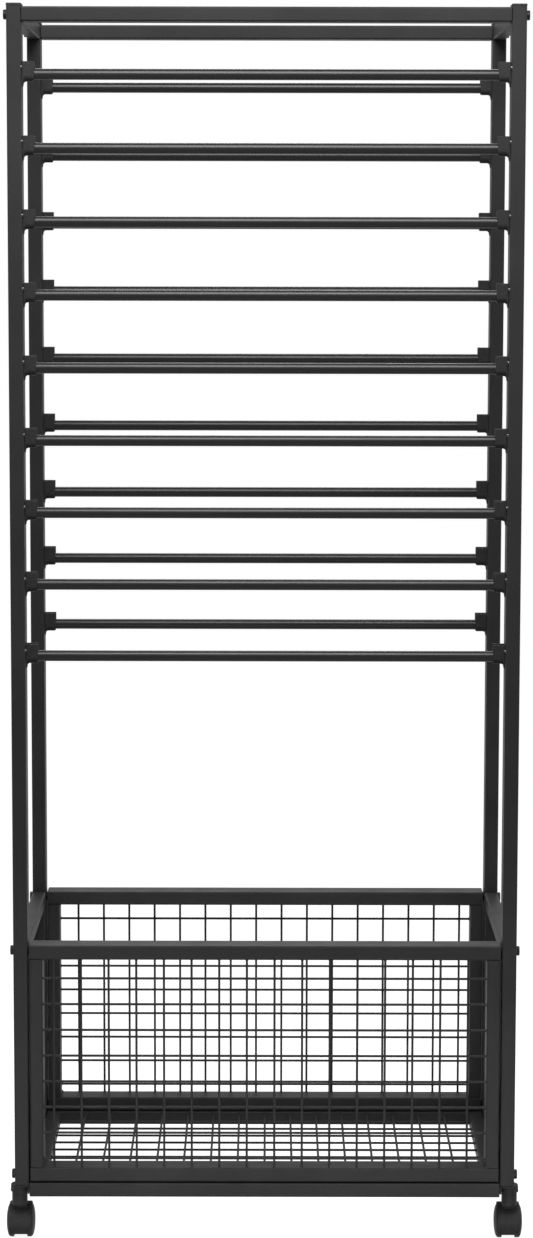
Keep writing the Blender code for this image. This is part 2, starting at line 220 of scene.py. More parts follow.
class StageLight(bpy.types.PropertyGroup):
    key_power: power("Key power", "Power of the softbox above the front", 50)
    front_power: power("Front power", "Power of the wide softbox over the camera", 4)
    fill_power: power("Fill power", "Power of each side softbox", 5)
    low_power: power("Low power", "Power of the low softbox before the basket", 0.9)
    rear_power: power("Rear power", "Power of the softbox behind", 2.5)
    world_level: share("World level", "Brightness of the even light from all round", 0.22)
    floor_glow: share("Floor glow", "Share of white that the floor shows on its own", 0.93)


# Modelling by hand, in steps that the operators share


def deselect_all():
    bpy.ops.object.select_all(action="DESELECT")


def select_only(piece):
    deselect_all()
    piece.select_set(True)
    bpy.context.view_layer.objects.active = piece


def open_new(name):
    """Names the new primitive, settles its place in its mesh, and opens it with nothing selected."""
    piece = bpy.context.object
    piece.name = name
    piece.data.name = name
    bpy.ops.object.transform_apply(location=True, rotation=True, scale=True)
    bpy.ops.object.mode_set(mode="EDIT")
    bpy.ops.mesh.select_all(action="DESELECT")
    return piece


def close_piece():
    bpy.ops.object.mode_set(mode="OBJECT")


def add_block(name, low, high):
    deselect_all()
    low, high = Vector(low), Vector(high)
    bpy.ops.mesh.primitive_cube_add(size=1, location=(low + high) / 2, scale=high - low)
    return open_new(name)


def add_drum(name, centre, radius, depth, axis, sides):
    deselect_all()
    turn = {X: (0, math.pi / 2, 0), Y: (math.pi / 2, 0, 0), Z: (0, 0, 0)}[axis]
    bpy.ops.mesh.primitive_cylinder_add(
        vertices=sides, radius=radius, depth=depth, location=centre, rotation=turn
    )
    return open_new(name)


def discard(piece):
    bpy.data.meshes.remove(piece.data)


def runs_along(edge, axis):
    span = edge.verts[1].co - edge.verts[0].co
    return abs(span[axis]) > SQUARE * span.length


def lies_on(element, axis, level):
    return all(abs(vert.co[axis] - level) < TOUCH for vert in element.verts)


def faces(face, axis, sign):
    return face.normal[axis] * sign > NEARLY_SQUARE


def pick(piece, kind, test):
    """Selects the edges or faces of the open piece that pass the test, and nothing else."""
    bpy.context.tool_settings.mesh_select_mode = (False, kind == "EDGE", kind == "FACE")
    bpy.ops.mesh.select_all(action="DESELECT")
    mesh = bmesh.from_edit_mesh(piece.data)
    mesh.select_mode = {kind}
    mesh.normal_update()
    chosen = [element for element in (mesh.edges if kind == "EDGE" else mesh.faces) if test(element)]
    if not chosen:
        raise RuntimeError(f"{piece.name}: no {kind.lower()} was found to work on")
    for element in chosen:
        element.select_set(True)
    bmesh.update_edit_mesh(piece.data)


def pick_edges(piece, test):
    pick(piece, "EDGE", test)


def pick_faces(piece, test):
    pick(piece, "FACE", test)


def bevel(offset, steps):
    bpy.ops.mesh.bevel(offset=offset, segments=steps, profile=0.5, affect="EDGES")


def inset(thickness, depth=0.0):
    bpy.ops.mesh.inset(thickness=thickness, depth=depth, use_individual=True)


def step_face(steps, wide, high):
    """Draws the selected face inwards in steps, each given in shares of a width and of a height."""
    for inwards, outwards in steps:
        inset(inwards * wide, outwards * high)


def extrude(move):
    bpy.ops.mesh.extrude_region_move(TRANSFORM_OT_translate={"value": move})


def resize(value, centre):
    bpy.ops.transform.resize(value=value, center_override=centre)


def round_along(piece, axis, radius):
    """Rounds the open block's four edges that run along an axis."""
    pick_edges(piece, lambda edge: runs_along(edge, axis))
    bevel(radius, steps=4)


def draw_face(piece, axis, sign, rim, distance):
    """Insets the face that looks one way along an axis, and moves what is left along that axis."""
    pick_faces(piece, lambda face: faces(face, axis, sign))
    inset(rim)
    extrude(along(axis, distance))


def bore(piece, axis, wall):
    """Bores the piece through along an axis, leaves a wall all round, and ends its edit mode."""
    pick_faces(piece, lambda face: abs(face.normal[axis]) > SQUARE)
    inset(wall)
    bpy.ops.mesh.bridge_edge_loops()
    close_piece()


def along(axis, distance):
    move = [0.0, 0.0, 0.0]
    move[axis] = distance
    return Vector(move)


def along_and_across(axis, lengthways, crossways):
    """Scale factors along one axis and across it."""
    return [lengthways if index == axis else crossways for index in range(3)]


def apply_modifier(piece, kind, **settings):
    select_only(piece)
    modifier = piece.modifiers.new(kind.title(), kind)
    for name, value in settings.items():
        setattr(modifier, name, value)
    bpy.ops.object.modifier_apply(modifier=modifier.name)


def cut_away(piece, tool):
    """Cuts the tool's shape out of the piece, and the tool is used up."""
    apply_modifier(piece, "BOOLEAN", object=tool, operation="DIFFERENCE", solver="EXACT")
    discard(tool)


def join(name, pieces):
    deselect_all()
    for piece in pieces:
        piece.select_set(True)
    bpy.context.view_layer.objects.active = pieces[0]
    bpy.ops.object.join()
    pieces[0].name = name
    pieces[0].data.name = name
    return pieces[0]


def repeat(piece, number, step):
    apply_modifier(
        piece, "ARRAY", count=number, use_relative_offset=False, use_constant_offset=True,
        constant_offset_displace=step,
    )


def finish_shape(piece, finish, softened=0.0, smooth_angle=SMOOTH_ANGLE):
    """Softens the edges that are still sharp, shades the piece and gives it its finish."""
    if piece.mode == "EDIT":
        close_piece()
    if softened:
        apply_modifier(
            piece, "BEVEL", width=softened, segments=SOFT_STEPS, limit_method="ANGLE",
            angle_limit=math.radians(SOFT_ANGLE), use_clamp_overlap=True,
        )
    select_only(piece)
    bpy.ops.object.shade_smooth_by_angle(angle=math.radians(smooth_angle))
    apply_modifier(piece, "WEIGHTED_NORMAL", keep_sharp=True, weight=NORMAL_WEIGHT)
    piece.data.materials.clear()
    piece.data.materials.append(bpy.data.materials[finish])
    return piece


def copy_piece(piece, name, start=Vector(), place=Vector(), half_turn=False):
    """Copies a piece with its own mesh and moves it from one point to another.

    With half_turn it is first turned half round the rack's upright axis, and its starting point with it.
    """
    select_only(piece)
    bpy.ops.object.duplicate(linked=False)
    twin = bpy.context.object
    twin.name = name
    twin.data.name = name
    twin.rotation_euler.z = math.pi if half_turn else 0
    twin.location = place - (Vector((-start.x, -start.y, start.z)) if half_turn else start)
    bpy.ops.object.transform_apply(location=True, rotation=True, scale=True)
    return twin


def copy_to_corners(piece, name, start, place, body, slot, node="", turn_rows=False):
    """Copies a front left piece to all four corners, and turns it half round for the right side.

    With turn_rows the rear row is turned instead, as for a caster that trails inwards. The body and node
    names get the corner's name where they hold a pair of braces.
    """
    for row, side in CORNERS:
        turned = row == "rear" if turn_rows else side == "right"
        target = Vector((abs(place.x) * OUTWARD[side], abs(place.y) * OUTWARD[row], place.z))
        corner = f"{row}_{side}"
        twin = copy_piece(piece, f"{name}_{corner}", start, target, turned)
        nodes = [node.format(corner)] if node else []
        hand_over(twin, body.format(corner), slot, *nodes)


def hand_over(piece, body, slot, *nodes):
    """Lets the piece ride on a body of the frame and hides the nodes that it stands for; the slot is not
    used.
    """
    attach(piece, body)
    if nodes:
        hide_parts(*nodes)


# Places that come from the frame


def post_box(row, side):
    """The post's tube without its cradles."""
    low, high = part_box(f"post_{row}_{side}")
    width = bpy.context.scene.rack_tube.face
    if side == "left":
        high.x = low.x + width
    else:
        low.x = high.x - width
    return low, high


def box_centre(node):
    low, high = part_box(node)
    return (low + high) / 2


def stem_place(row, side):
    """The point on the caster's stem axis at the height of the wheel axis."""
    place = box_centre(f"axle_{row}_{side}")
    return place + along(Y, OUTWARD[row] * bpy.context.scene.rack_caster.trail)


# Finishes


def new_finish(name, base, gloss=0.5, metallic=0.0, roughness=0.5):
    """A material with one shader, still even all over."""
    material = bpy.data.materials.new(name)
    material.use_nodes = True
    inputs = shader_inputs(material)
    inputs["Base Color"].default_value = (*base, 1)
    inputs["Specular IOR Level"].default_value = gloss
    inputs["Metallic"].default_value = metallic
    inputs["Roughness"].default_value = roughness
    material.diffuse_color = (*base, 1)
    return material


def shader_inputs(material):
    return material.node_tree.nodes["Principled BSDF"].inputs


def add_node(material, kind, **inputs):
    node = material.node_tree.nodes.new(kind)
    for name, value in inputs.items():
        node.inputs[name.replace("_", " ")].default_value = value
    return node


def add_noise(material, scale, detail, stretch=(1, 1, 1)):
    """Noise on the object's own coordinates, drawn out along the axes that have a small stretch."""
    link = material.node_tree.links.new
    place = add_node(material, "ShaderNodeTexCoord")
    mapping = add_node(material, "ShaderNodeMapping", Scale=stretch)
    noise = add_node(material, "ShaderNodeTexNoise", Scale=scale, Detail=detail, Roughness=0.55)
    link(place.outputs["Object"], mapping.inputs["Vector"])
    link(mapping.outputs["Vector"], noise.inputs["Vector"])
    return noise.outputs["Fac"]


def spread(material, pattern, low, high, start=0.3, end=0.7):
    """Turns the middle of a pattern's range, from start to end, into values between low and high."""
    scale = add_node(material, "ShaderNodeMapRange", From_Min=start, From_Max=end, To_Min=low, To_Max=high)
    material.node_tree.links.new(pattern, scale.inputs["Value"])
    return scale.outputs["Result"]


def vary_colour(material, darker, lighter, start=0.3, end=0.7, **noise):
    """Lets the base colour change with noise, between two shares of itself."""
    link = material.node_tree.links.new
    tone = spread(material, add_noise(material, **noise), 0, 1, start, end)
    base = shader_inputs(material)["Base Color"]
    mix = add_node(material, "ShaderNodeMix")
    mix.data_type = "RGBA"
    factor, first, second = (mix.inputs[index] for index in (0, 6, 7))
    first.default_value = (*[value * darker for value in base.default_value[:3]], 1)
    second.default_value = (*[value * lighter for value in base.default_value[:3]], 1)
    link(tone, factor)
    link(mix.outputs[2], base)


def vary_roughness(material, low, high, **noise):
    roughness = spread(material, add_noise(material, **noise), low, high)
    material.node_tree.links.new(roughness, shader_inputs(material)["Roughness"])


def add_relief(material, height, strength, **noise):
    """Lays a fine relief over the reliefs that the material has so far."""
    link = material.node_tree.links.new
    normal = shader_inputs(material)["Normal"]
    bump = add_node(material, "ShaderNodeBump", Distance=height, Strength=strength)
    link(add_noise(material, **noise), bump.inputs["Height"])
    if normal.is_linked:
        link(normal.links[0].from_socket, bump.inputs["Normal"])
    link(bump.outputs["Normal"], normal)


def make_coat(base):
    """Satin powder coat: a fine orange peel, slow changes in tone and a few rubbed places."""
    coat = new_finish("powder_coat", base, gloss=0.06)
    vary_colour(coat, darker=0.88, lighter=1.12, scale=11, detail=3)
    vary_roughness(coat, 0.45, 0.55, scale=34, detail=4, stretch=(1, 1, 0.35))
    add_relief(coat, 0.02 * MM, strength=0.35, scale=900, detail=2)
    add_relief(coat, 0.006 * MM, strength=0.3, scale=3200, detail=1)


def make_enamel(base):
    """Smooth rod enamel with faint lines drawn along the rod and light rubbing."""
    enamel = new_finish("rod_enamel_coat", base, gloss=0.195)
    vary_colour(enamel, darker=0.85, lighter=1.15, scale=16, detail=3)
    vary_roughness(enamel, 0.3, 0.35, scale=220, detail=3, stretch=(0.06, 1, 1))
    add_relief(enamel, 0.006 * MM, strength=0.3, scale=1500, detail=2, stretch=(0.08, 1, 1))


def make_plastic(base):
    """Moulded plastic with a fine spark-eroded grain."""
    plastic = new_finish("grained_plastic", base, gloss=0.08)
    vary_colour(plastic, darker=0.8, lighter=1.25, scale=320, detail=4)
    vary_roughness(plastic, 0.52, 0.64, scale=150, detail=3)
    add_relief(plastic, 0.05 * MM, strength=0.5, scale=1300, detail=3)


def make_nylon(base):
    """Wheel nylon: smoother than the hood, with dull scuffs."""
    nylon = new_finish("wheel_nylon_moulding", base, gloss=0.1)
    vary_colour(nylon, darker=0.9, lighter=1.7, start=0.45, end=0.75, scale=260, detail=5)
    vary_roughness(nylon, 0.45, 0.62, scale=210, detail=4)
    add_relief(nylon, 0.03 * MM, strength=0.4, scale=900, detail=3)


def make_steel(name, base, low, high, stretch=(1, 1, 1)):
    """Plated or bare steel with fine turning marks, and its roughness between low and high."""
    steel = new_finish(name, base, metallic=1)
    vary_colour(steel, darker=0.8, lighter=1.15, scale=420, detail=4)
    vary_roughness(steel, low, high, scale=1400, detail=3, stretch=stretch)
    add_relief(steel, 0.006 * MM, strength=0.35, scale=2600, detail=2, stretch=stretch)


class RACK_OT_finishes(bpy.types.Operator):
    """Powder coat, rod enamel, grained plastic, wheel nylon and three kinds of steel"""

    bl_idname = "rack.finishes"
    bl_label = "Finishes"

    def execute(self, context):
        colours = context.scene.rack_colours
        make_coat(colours.coat)
        make_enamel(colours.enamel)
        make_plastic(colours.plastic)
        make_nylon(colours.nylon)
        make_steel("bolt_oxide", colours.oxide, low=0.38, high=0.52)
        make_steel("screw_zinc", colours.zinc, low=0.25, high=0.4)
        make_steel("turned_steel", colours.steel, low=0.22, high=0.36, stretch=(1, 0.1, 0.1))
        return {"FINISHED"}


# Frame

# Radius of the outer edge at a tube's sawn end
SAWN_EDGE = 0.7 * MM
# Radius of a cap's rounded rim, and how far a cap stands past its tube
CAP_CROWN = 0.7 * MM
CAP_LIP = 0.25 * MM


def shape_tube(name, low, high, axis, corner):
    """A length of rectangular tube: rounded long edges, and a bore bridged from end to end."""
    sizes = bpy.context.scene.rack_tube
    tube = add_block(name, low, high)
    round_along(tube, axis, corner)
    pick_edges(tube, lambda edge: lies_on(edge, axis, low[axis]) or lies_on(edge, axis, high[axis]))
    bevel(SAWN_EDGE, steps=2)
    bore(tube, axis, sizes.wall)
    return tube


def add_frame_tube(name, low, high, axis, node):
    """Adds one of the frame's own tubes in the place of its node."""
    tube = shape_tube(name, low, high, axis, bpy.context.scene.rack_tube.corner)
    finish_shape(tube, "powder_coat")
    hand_over(tube, "frame", "frame_coat", node)


class RACK_OT_posts(bpy.types.Operator):
    """Four posts of flat rectangular tube, open from end to end"""

    bl_idname = "rack.posts"
    bl_label = "Posts"

    def execute(self, context):
        for row, side in CORNERS:
            low, high = post_box(row, side)
            add_frame_tube(f"post_tube_{row}_{side}", low, high, Z, f"post_{row}_{side}")
        return {"FINISHED"}


class RACK_OT_top_beams(bpy.types.Operator):
    """Four beams that close the top of the frame between the posts"""

    bl_idname = "rack.top_beams"
    bl_label = "Top beams"

    def execute(self, context):
        for place, axis in (("front", X), ("rear", X), ("left", Y), ("right", Y)):
            low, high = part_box(f"top_beam_{place}")
            add_frame_tube(f"beam_tube_{place}", low, high, axis, f"top_beam_{place}")
        return {"FINISHED"}


class RACK_OT_post_caps(bpy.types.Operator):
    """Rounded plastic caps whose plugs sit in the posts' top ends"""

    bl_idname = "rack.post_caps"
    bl_label = "Post caps"

    def execute(self, context):
        sizes = context.scene.rack_tube
        for row, side in CORNERS:
            low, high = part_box(f"cap_{row}_{side}")
            plug_foot = low.z
            low.z = high.z - sizes.cap_height
            cap = add_block(f"post_cap_{row}_{side}", low, high)
            round_along(cap, Z, sizes.corner + CAP_LIP)
            pick_edges(cap, lambda edge: lies_on(edge, Z, high.z))
            bevel(CAP_CROWN, steps=3)
            draw_face(cap, Z, -1, sizes.wall + 2 * CAP_LIP, plug_foot - low.z)
            finish_shape(cap, "grained_plastic")
            hand_over(cap, "frame", "black_plastic", f"cap_{row}_{side}")
        return {"FINISHED"}


# Rods and cradles

# How deep a rod's open ends are modelled, and the radius of their rolled edge
OPEN_DEPTH = 12 * MM
ROLLED_EDGE = 0.35 * MM
# A cradle's flange: its thickness, how far it runs below the cradle, and the radius that leads to it
FLANGE = 1.3 * MM
FLANGE_DROP = 5.5 * MM
FILLET = 3.2 * MM
FILLET_STEPS = 5
# Share of the flange's thickness over which it widens
FLANGE_LEAD = 0.2
# The chamfer at the free end, on edges deeper than this share of the depth under the rod
NOSE_CHAMFER = 1.4 * MM
NOSE_START = 0.4
MOULDED_EDGE = 0.55 * MM
# A screw's height over the rod's centre, and its distance from the post's outer face
SCREW_RISE = 7.2 * MM
SCREW_INSET = 2.4 * MM
# Steps from a screw head's rim to its recess, in shares of its radius and of its height
SCREW_STEPS = ((0.3, 0.25), (0.3, 0.1), (0.12, -0.5))


def shape_rod(centre, half, sizes):
    """A rod along X whose tube ends are open and lightly rolled."""
    rod = add_drum("rod_bar", centre, sizes.radius, 2 * half, X, ROD_SIDES)
    for sign in (-1, 1):
        draw_face(rod, X, sign, sizes.wall, -sign * OPEN_DEPTH)
    return rod


class RACK_OT_rods(bpy.types.Operator):
    """Eighteen rods, modelled once and copied to every pair of cradles"""

    bl_idname = "rack.rods"
    bl_label = "Rods"

    def execute(self, context):
        sizes = context.scene.rack_rod
        first = box_centre("rod_front_1")
        rod = shape_rod(first, rod_high.x, sizes)
        finish_shape(rod, "rod_enamel_coat", softened=ROLLED_EDGE)
        for row in ROWS:
            for number in ROD_NUMBERS:
                node = f"rod_{row}_{number}"
                bar = copy_piece(rod, f"rod_bar_{row}_{number}", first, box_centre(node))
                hand_over(bar, node, "rod_enamel", node)
        discard(rod)
        return {"FINISHED"}


def round_underside(piece, foot, radius, steps):
    """Rounds the two lower edges of an open block that lies along X."""
    pick_edges(piece, lambda edge: runs_along(edge, X) and lies_on(edge, Z, foot))
    bevel(radius, steps)


def cut_slot(cradle, face_x, centre, sizes):
    """Cuts the trough for the rod, round at its floor and open at the top."""
    radius = sizes.slot_radius
    low = (face_x - OVERRUN, centre.y - radius, centre.z - radius)
    high = (face_x + sizes.reach + OVERRUN, centre.y + radius, centre.z + sizes.above + OVERRUN)
    slot = add_block("cradle_slot", low, high)
    round_underside(slot, low[Z], radius - 2 * TOUCH, steps=12)
    close_piece()
    cut_away(cradle, slot)


def flare_to_post(sizes, pivot):
    """Extrudes the open cradle's foot towards the post, deeper step by step, and ends it in the flange."""
    height = sizes.above + sizes.below
    depth = height
    drawn = 0.0
    for step in range(1, FILLET_STEPS + 1):
        turn = math.pi / 2 * step / FILLET_STEPS
        extrude(along(X, drawn - FILLET * math.sin(turn)))
        deeper = height + FILLET * (1 - math.cos(turn))
        resize((1, 1, deeper / depth), pivot)
        drawn = FILLET * math.sin(turn)
        depth = deeper
    lead = FLANGE_LEAD * FLANGE
    extrude(along(X, -lead))
    resize((1, 1, (height + FLANGE_DROP) / depth), pivot)
    extrude(along(X, lead - FLANGE))


def shape_cradle(face_x, centre, sizes):
    """A cradle on a left post: a rounded trough that widens to a flange where it meets the post."""
    half = sizes.slot_radius + sizes.wall
    foot_x = face_x + FLANGE + FILLET
    low = (foot_x, centre.y - half, centre.z - sizes.below)
    high = (face_x + sizes.reach, centre.y + half, centre.z + sizes.above)
    cradle = add_block("cradle", low, high)
    round_underside(cradle, low[Z], sizes.round, steps=8)
    pick_faces(cradle, lambda face: faces(face, X, -1))
    flare_to_post(sizes, (foot_x, centre.y, high[Z]))
    nose_top = centre.z - NOSE_START * sizes.below
    pick_edges(cradle, lambda edge: lies_on(edge, X, high[X]) and edge.verts[0].co.z < nose_top)
    bevel(NOSE_CHAMFER, steps=2)
    close_piece()
    cut_slot(cradle, face_x, centre, sizes)
    return cradle


class RACK_OT_cradles(bpy.types.Operator):
    """Thirty-six open rod cradles on the posts' inner faces"""

    bl_idname = "rack.cradles"
    bl_label = "Cradles"

    def execute(self, context):
        sizes = context.scene.rack_cradle
        first = box_centre("rod_front_1")
        face_x = post_box("front", "left")[1].x
        cradle = shape_cradle(face_x, first, sizes)
        finish_shape(cradle, "grained_plastic", softened=MOULDED_EDGE)
        for row, side in CORNERS:
            for number in ROD_NUMBERS:
                place = box_centre(f"rod_{row}_{number}")
                twin = copy_piece(cradle, f"cradle_{row}_{side}_{number}", first, place, side == "right")
                hand_over(twin, "frame", "black_plastic")
        discard(cradle)
        return {"FINISHED"}


def shape_screw(place, sizes):
    """A screw head with a rounded rim and a round recess, facing inwards from a left post."""
    screw = add_drum("screw", place, sizes.screw_radius, 2 * sizes.screw_height, X, SCREW_SIDES)
    pick_faces(screw, lambda face: faces(face, X, 1))
    step_face(SCREW_STEPS, sizes.screw_radius, sizes.screw_height)
    return screw


class RACK_OT_cradle_screws(bpy.types.Operator):
    """A small domed screw beside every cradle, near the post's outer edge"""

    bl_idname = "rack.cradle_screws"
    bl_label = "Cradle screws"

    def execute(self, context):
        sizes = context.scene.rack_fastener
        low, high = post_box("front", "left")
        first = Vector((high.x, low.y + SCREW_INSET, box_centre("rod_front_1").z + SCREW_RISE))
        screw = finish_shape(shape_screw(first, sizes), "screw_zinc", softened=SCREW_EDGE)
        for number in ROD_NUMBERS:
            drop = box_centre(f"rod_front_{number}").z - box_centre("rod_front_1").z
            place = first + along(Z, drop)
            copy_to_corners(screw, f"cradle_screw_{number}", first, place, "frame", "axle_steel")
        discard(screw)
        return {"FINISHED"}


# Basket

# The ripples of a corner weld: their radius, their spacing, and what is left of them along the weld
BEAD_RADIUS = 1.5 * MM
BEAD_PITCH = 1.5 * MM
BEAD_SQUASH = 0.7
# How much thicker a wire is where it is welded on, and over which length
FLARE = 1.5
FLARE_LENGTH = 1.4 * MM
# From a panel's outer face to the wires' middle plane
WIRE_INSET = 3.3 * MM
# How far crossing wires press into each other, and wire ends into the border
WIRE_OVERLAP = 0.6 * MM
WIRE_SINK = 0.6 * MM


def shape_corner_weld(name, place, axis, span):
    """A row of flattened ripples that fills the inner corner between a rail and a stile."""
    deselect_all()
    start = place + along(axis, BEAD_RADIUS)
    bpy.ops.mesh.primitive_uv_sphere_add(segments=10, ring_count=6, radius=BEAD_RADIUS, location=start)
    bead = open_new(name)
    bpy.ops.mesh.select_all(action="SELECT")
    resize(along_and_across(axis, BEAD_SQUASH, 1), start)
    close_piece()
    ripples = int((span - 2 * BEAD_RADIUS) / BEAD_PITCH) + 1
    repeat(bead, ripples, along(axis, BEAD_PITCH))
    return finish_shape(bead, "powder_coat")


def shape_border(name, low, high, axes, stile, rail):
    """Two rails with two stiles butted between them, welded at the inner corners."""
    sizes = bpy.context.scene.rack_basket
    rail_axis, stile_axis, weld_axis = axes
    frame_width = along(rail_axis, stile) + along(stile_axis, rail)
    inner_low, inner_high = low + frame_width, high - frame_width
    tubes = []
    for last in (False, True):
        for run, across, butted in ((rail_axis, stile_axis, 0), (stile_axis, rail_axis, rail)):
            start, end = low + along(run, butted), high - along(run, butted)
            if last:
                start[across] = inner_high[across]
            else:
                end[across] = inner_low[across]
            tubes.append(shape_tube(name, start, end, run, sizes.corner))
    border = finish_shape(join(name, tubes), "powder_coat")
    span = inner_high - inner_low
    bead = shape_corner_weld(name + "_weld", inner_low, weld_axis, span[weld_axis])
    welds = []
    for right in (0, 1):
        for up in (0, 1):
            shift = along(rail_axis, right * span[rail_axis]) + along(stile_axis, up * span[stile_axis])
            welds.append(copy_piece(bead, name + "_weld", place=shift))
    discard(bead)
    return join(name, [border, *welds])


class RACK_OT_basket_borders(bpy.types.Operator):
    """The welded tube borders of the four basket panels and the base panel"""

    bl_idname = "rack.basket_borders"
    bl_label = "Basket borders"

    def execute(self, context):
        tube = context.scene.rack_tube
        side_gap = context.scene.rack_basket.side_gap
        panels = (
            ("front", (X, Z, Y), side_gap, tube.face),
            ("rear", (X, Z, Y), side_gap, tube.face),
            ("left", (Y, Z, X), 0, tube.face),
            ("right", (Y, Z, X), 0, tube.face),
            ("base", (X, Y, Z), 0, tube.depth),
        )
        for place, axes, gap, rail in panels:
            low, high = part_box(f"basket_{place}")
            low += along(axes[0], gap)
            high -= along(axes[0], gap)
            border = shape_border(f"basket_border_{place}", low, high, axes, tube.face - gap, rail)
            hand_over(border, "frame", "frame_coat", f"basket_{place}")
        return {"FINISHED"}


def shape_wires(name, start, axis, span, number, step, sizes):
    """A row of round wires, each one thickened at its ends where it is welded on."""
    middle = start + along(axis, span / 2)
    plain = span - 2 * FLARE_LENGTH
    wire = add_drum(name, middle, sizes.wire_radius, plain, axis, WIRE_SIDES)
    for sign in (-1, 1):
        pick_faces(wire, lambda face: faces(face, axis, sign))
        extrude(along(axis, sign * FLARE_LENGTH))
        resize(along_and_across(axis, 1, FLARE), middle + along(axis, sign * span / 2))
    close_piece()
    repeat(wire, number, step)
    return wire


def shape_grid(place, axes, rail, inwards, columns, rows):
    """Two layers of wires that cross behind a panel's outer face, with their ends sunk in the border.

    The columns and the rows are given by the first one's place in the opening, their pitch and number.
    """
    sizes = bpy.context.scene.rack_basket
    row_axis, column_axis, depth_axis = axes
    low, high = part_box(f"basket_{place}")
    outer = low[depth_axis] if inwards > 0 else high[depth_axis]
    stile = bpy.context.scene.rack_tube.face
    border = along(row_axis, stile - WIRE_SINK) + along(column_axis, rail - WIRE_SINK)
    low += border
    high -= border
    half_gap = (2 * sizes.wire_radius - WIRE_OVERLAP) / 2
    name = f"basket_wires_{place}"
    layers = (
        (columns, row_axis, column_axis, -half_gap),
        (rows, column_axis, row_axis, half_gap),
    )
    sets = []
    for (first, pitch, number), step_axis, wire_axis, layer in layers:
        start = low + along(step_axis, WIRE_SINK + first)
        start[depth_axis] = outer + inwards * (WIRE_INSET + layer)
        span = high[wire_axis] - low[wire_axis]
        sets.append(shape_wires(name, start, wire_axis, span, number, along(step_axis, pitch), sizes))
    return finish_shape(join(name, sets), "powder_coat", smooth_angle=WIRE_SMOOTH_ANGLE)


def even(place, axis, border, number):
    """First place, pitch and number of wires that divide a panel's opening into equal parts."""
    low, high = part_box(f"basket_{place}")
    pitch = (high[axis] - low[axis] - 2 * border) / (number + 1)
    return pitch, pitch, number


class RACK_OT_basket_wires(bpy.types.Operator):
    """The welded wire grids of the basket panels and the base"""

    bl_idname = "rack.basket_wires"
    bl_label = "Basket wires"

    def execute(self, context):
        sizes = context.scene.rack_basket
        tube = context.scene.rack_tube
        rows = (sizes.first_row, sizes.row_pitch, sizes.rows)
        columns = (sizes.first_column, sizes.column_pitch, sizes.columns)
        side_columns = even("left", Y, tube.face, sizes.side_columns)
        base_columns = even("base", X, tube.face, sizes.base_columns)
        base_rows = even("base", Y, tube.depth, sizes.base_rows)
        front = shape_grid("front", (X, Z, Y), tube.face, 1, columns, rows)
        rear = copy_piece(front, "basket_wires_rear", half_turn=True)
        left = shape_grid("left", (Y, Z, X), tube.face, 1, side_columns, rows)
        right = copy_piece(left, "basket_wires_right", half_turn=True)
        base = shape_grid("base", (X, Y, Z), tube.depth, -1, base_columns, base_rows)
        for grid in (front, rear, left, right, base):
            hand_over(grid, "frame", "frame_coat")
        return {"FINISHED"}


# Fasteners

BOLT_CROWN = 0.9 * MM
# The hexagon socket: its radius across the corners, and its depth
KEY_RADIUS = 2.3 * MM
KEY_DEPTH = 2 * MM
NUT_FLANGE_RADIUS = 5 * MM
# From the rail's middle down to the lowest bolts
FOOT_BOLT_DROP = 2.7 * MM


def shape_bolt(middle, out, sizes):
    """A button head with a rounded rim and a hexagon socket, facing along X."""
    bolt = add_drum("bolt", middle, sizes.bolt_radius, 2 * sizes.bolt_height, X, BOLT_SIDES)
    top = middle.x + out * sizes.bolt_height
    pick_edges(bolt, lambda edge: lies_on(edge, X, top))
    bevel(BOLT_CROWN, steps=4)
    close_piece()
    place = (top, middle.y, middle.z)
    key = add_drum("bolt_key", place, KEY_RADIUS, 2 * KEY_DEPTH, X, SOCKET_SIDES)
    close_piece()
    cut_away(bolt, key)
    return finish_shape(bolt, "bolt_oxide", smooth_angle=BOLT_SMOOTH_ANGLE)


class RACK_OT_bolts(bpy.types.Operator):
    """Twelve button-head bolts through the posts, and the nut flanges that part the panels from the posts"""

    bl_idname = "rack.bolts"
    bl_label = "Frame bolts"

    def execute(self, context):
        sizes = context.scene.rack_fastener
        half_rail = context.scene.rack_tube.face / 2
        basket_low, basket_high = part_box("basket_front")
        levels = {
            "beam": box_centre("top_beam_front").z,
            "basket": basket_high.z - half_rail,
            "foot": basket_low.z + half_rail - FOOT_BOLT_DROP,
        }
        low, high = post_box("front", "left")
        first = Vector((low.x, (low.y + high.y) / 2, levels["beam"]))
        bolt = shape_bolt(first, -1, sizes)
        for name, level in levels.items():
            place = Vector((first.x, first.y, level))
            copy_to_corners(bolt, f"frame_bolt_{name}", first, place, "frame", "frame_coat")
        discard(bolt)
        panel_x = basket_low.x + context.scene.rack_basket.side_gap
        middle = Vector(((high.x + panel_x) / 2, first.y, levels["basket"]))
        flange = add_drum("nut_flange", middle, NUT_FLANGE_RADIUS, panel_x - high.x, X, BOLT_SIDES)
        finish_shape(flange, "bolt_oxide", softened=FLANGE_EDGE)
        for name in ("basket", "foot"):
            place = Vector((middle.x, middle.y, levels[name]))
            copy_to_corners(flange, f"nut_flange_{name}", middle, place, "frame", "frame_coat")
        discard(flange)
        return {"FINISHED"}


# Casters

# The gap that the stem, the axle and the hood turn in
RUNNING_GAP = 0.3 * MM
# Depth of the collar's bore for the stem
BORE_DEPTH = 7.38 * MM
# The rib by the base panel: its thickness, and how far it stays inside the plate's ends
RIB_THICKNESS = 1.8 * MM
RIB_STEP = 1 * MM
# Radius of the hood's rounded rims
HOOD_EDGE = 0.72 * MM
# The boss's chin: its rim and its depth in shares of the boss's radius, and what its foot keeps of its size
CHIN_RIM = 0.07
CHIN_DEPTH = 0.9
CHIN_TAPER = (0.9, 0.3, 1)
# Depth of the hollow in a wheel's inner face
HUB_RECESS = 5 * MM
